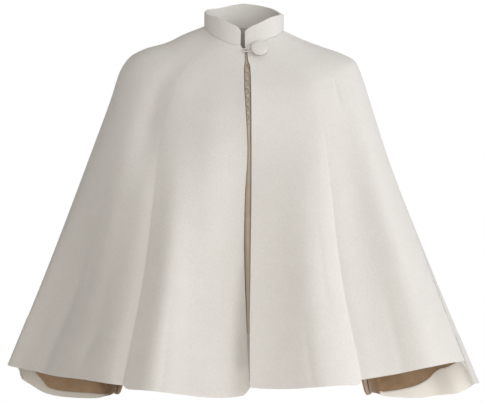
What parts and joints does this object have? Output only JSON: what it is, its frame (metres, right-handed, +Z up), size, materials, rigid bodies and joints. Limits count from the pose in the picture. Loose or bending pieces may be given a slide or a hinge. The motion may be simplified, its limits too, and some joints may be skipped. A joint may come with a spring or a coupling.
{
  "type": "stand-collar wool cape",
  "caption": "Short felted-wool cape with a stand collar, a covered button and loop at the neck, an open centre front and wide bell sleeves lined in tan cloth.",
  "frame": {"origin": "the centre of the neck at the level of the collar seam, where the shoulders carry the cape", "axes": "+X toward the right sleeve as seen from the front, -Y the front, +Z up"},
  "size_m": [0.8263, 0.2997, 0.7144],
  "materials": {
    "front_left_wool": "felted wool, matte, ivory, with a short nap",
    "front_right_wool": "felted wool, matte, ivory, with a short nap",
    "back_wool": "felted wool, matte, ivory, with a short nap",
    "collar_wool": "felted wool, matte, ivory, with a short nap",
    "underlap_cloth": "twill cloth, matte, taupe",
    "button_cover": "felted wool cover, matte, ivory",
    "loop_cover": "rouleau cord, matte, ivory",
    "loop_cord_cover": "rouleau cord, matte, taupe",
    "facing_left_wool": "felted wool strip, matte, cream",
    "lining_left_cloth": "lining twill, slight sheen, caramel brown",
    "facing_right_wool": "felted wool strip, matte, cream",
    "lining_right_cloth": "lining twill, slight sheen, caramel brown"
  },
  "bodies": {
    "root": {"front_left": "front_left_wool", "front_right": "front_right_wool", "back": "back_wool", "collar": "collar_wool", "front_underlap": "underlap_cloth", "button": "button_cover", "button_loop": "loop_cover", "loop_cord": "loop_cord_cover", "facing_left": "facing_left_wool", "lining_left": "lining_left_cloth", "facing_right": "facing_right_wool", "lining_right": "lining_right_cloth"}
  },
  "joints": []
}
